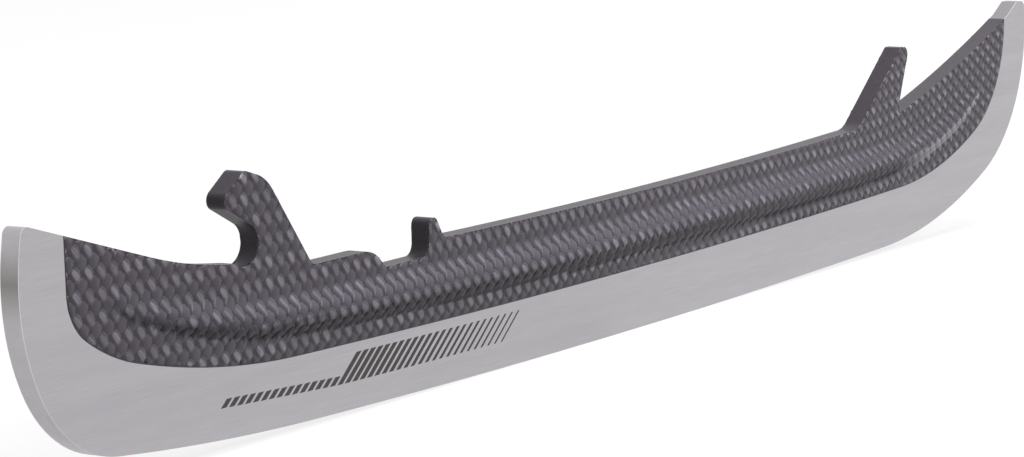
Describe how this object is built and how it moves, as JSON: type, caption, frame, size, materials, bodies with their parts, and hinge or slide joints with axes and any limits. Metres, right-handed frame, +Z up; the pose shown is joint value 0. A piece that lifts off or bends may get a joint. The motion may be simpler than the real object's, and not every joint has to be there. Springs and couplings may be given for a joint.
{
  "type": "ice skate runner",
  "caption": "Composite-backed ice skate runner: a curved stainless ice strip bonded into a braided carbon body with a heel latch hook and a leaning toe post.",
  "frame": {"origin": "on the ice line at mid length, in the middle of the thickness", "axes": "+X from heel to toe, +Y across the thickness to the runner's left side, +Z up from the ice to the skate holder"},
  "size_m": [0.28, 0.0054, 0.0373],
  "materials": {
    "steel_runner": "satin ground stainless steel",
    "epoxy_bond": "cured dark adhesive",
    "tang_keys": "cured resin plugs",
    "core_left": "moulded carbon laminate with smooth machined edges",
    "core_right": "moulded carbon laminate with smooth machined edges",
    "rib_stringer_left": "lengthwise carbon bundle under the skin",
    "rib_stringer_right": "lengthwise carbon bundle under the skin",
    "braid_skin_left": "satin braided carbon",
    "braid_skin_right": "satin braided carbon"
  },
  "bodies": {
    "root": {"steel_runner": "steel_runner", "epoxy_bond": "epoxy_bond", "tang_keys": "tang_keys", "core_left": "core_left", "core_right": "core_right", "rib_stringer_left": "rib_stringer_left", "rib_stringer_right": "rib_stringer_right", "braid_skin_left": "braid_skin_left", "braid_skin_right": "braid_skin_right"}
  },
  "joints": []
}
